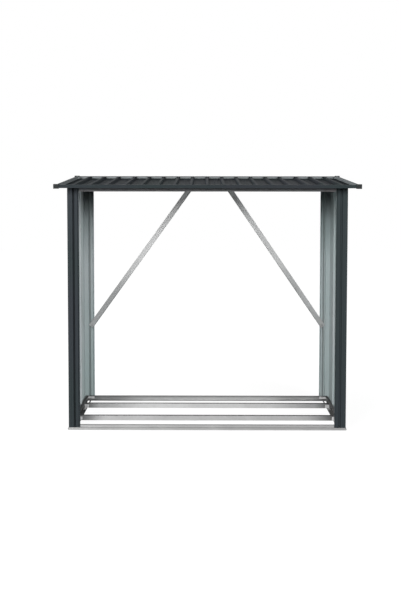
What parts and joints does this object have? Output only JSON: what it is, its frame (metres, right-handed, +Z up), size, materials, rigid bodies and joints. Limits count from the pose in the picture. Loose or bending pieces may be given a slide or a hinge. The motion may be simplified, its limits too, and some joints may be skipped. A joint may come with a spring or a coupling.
{
  "type": "log store",
  "caption": "Open-fronted log store of folded sheet steel: ribbed side walls, folded base rails, diagonal back braces and a ribbed roof rising to the back",
  "frame": {"origin": "centre of the footprint, on the ground", "axes": "+X to the right seen from the open front, +Y to the back, +Z up"},
  "size_m": [1.88, 0.8968, 1.6],
  "materials": {
    "anthracite_steel": "satin",
    "galvanised_steel": "satin",
    "black_plastic": "matte"
  },
  "bodies": {
    "root": {"base_front_bearer": "galvanised_steel", "base_front_rail": "galvanised_steel", "base_left_rail": "galvanised_steel", "base_rear_bearer": "galvanised_steel", "base_rear_rail": "galvanised_steel", "base_right_rail": "galvanised_steel", "rear_brace_left": "galvanised_steel", "rear_brace_right": "galvanised_steel", "roof_cap_front_left": "black_plastic", "roof_cap_front_right": "black_plastic", "roof_cap_rear_left": "black_plastic", "roof_cap_rear_right": "black_plastic", "roof_sheet_left": "anthracite_steel", "roof_sheet_middle": "anthracite_steel", "roof_sheet_right": "anthracite_steel", "roof_trim_front": "anthracite_steel", "roof_trim_left": "anthracite_steel", "roof_trim_rear": "anthracite_steel", "roof_trim_right": "anthracite_steel", "top_front_beam": "anthracite_steel", "top_left_rail": "anthracite_steel", "top_rear_beam": "anthracite_steel", "top_right_rail": "anthracite_steel", "wall_panel_front_left": "anthracite_steel", "wall_panel_front_right": "anthracite_steel", "wall_panel_middle_left": "anthracite_steel", "wall_panel_middle_right": "anthracite_steel", "wall_panel_rear_left": "anthracite_steel", "wall_panel_rear_right": "anthracite_steel"}
  },
  "joints": []
}
